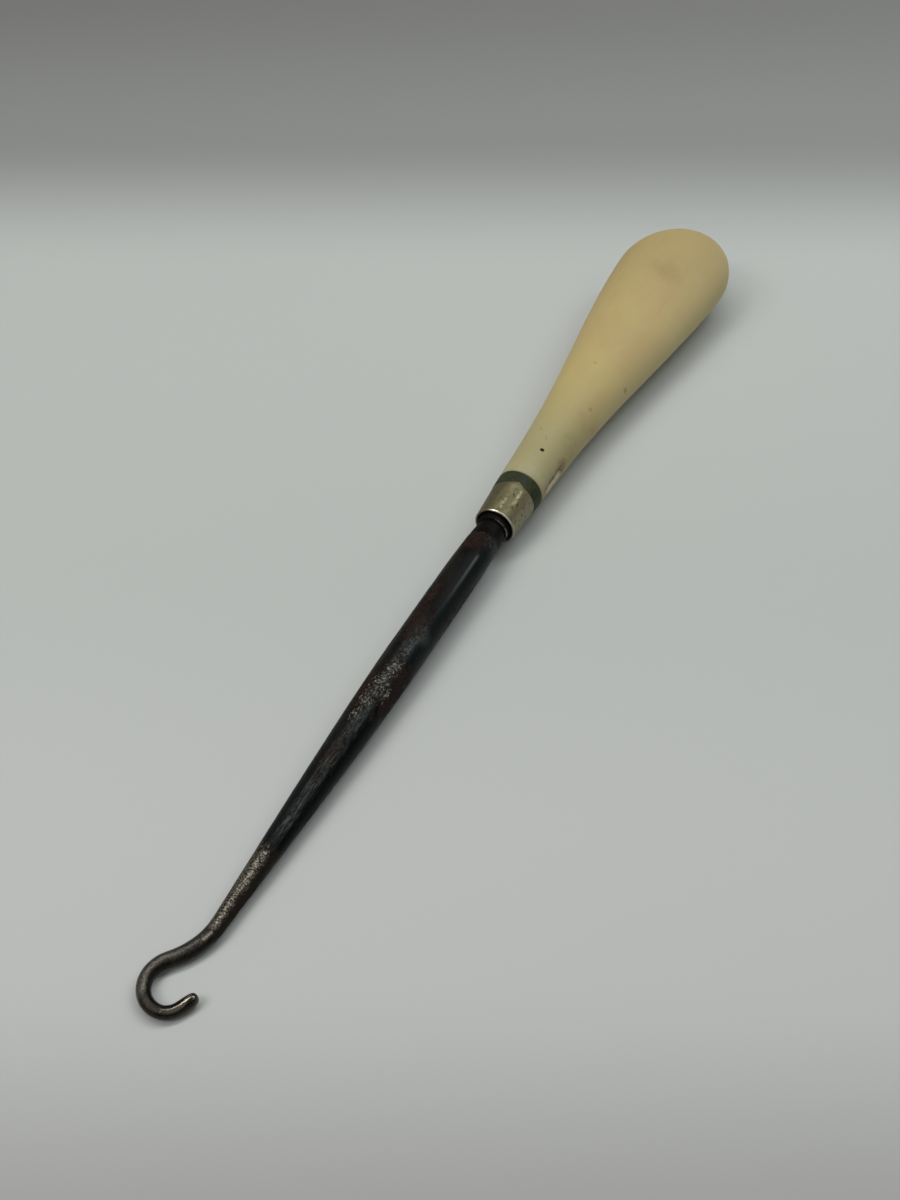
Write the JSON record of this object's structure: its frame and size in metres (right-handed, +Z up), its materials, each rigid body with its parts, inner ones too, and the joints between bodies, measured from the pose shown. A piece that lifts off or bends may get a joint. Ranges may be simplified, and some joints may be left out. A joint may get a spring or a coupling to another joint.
{
  "type": "button hook",
  "caption": "Hand tool with an oval pear-shaped handle, a coloured band, a metal ferrule and a tapered steel shank ending in a round crook.",
  "frame": {"origin": "on the table under the middle of the tool's length and of the handle's width", "axes": "+X from the butt of the handle to the crook, +Z up from the table the tool lies on, +Y the side on which the tip of the crook lies"},
  "size_m": [0.1998, 0.023, 0.0157],
  "materials": {
    "handle": "smooth matt bone-coloured surface, yellowed, with faint scuffs and stains",
    "band": "dark green dyed ring, low sheen",
    "ferrule": "worn nickel-toned brass, tarnished in blotches, bright on the mouth's bead",
    "steel": "blackened forged steel, rust-browned and pitted, worn bright along the stem",
    "cement": "dark setting compound, dull"
  },
  "bodies": {
    "root": {"handle": "handle", "band": "band", "ferrule": "ferrule", "hook": "steel", "cement": "cement"}
  },
  "joints": []
}
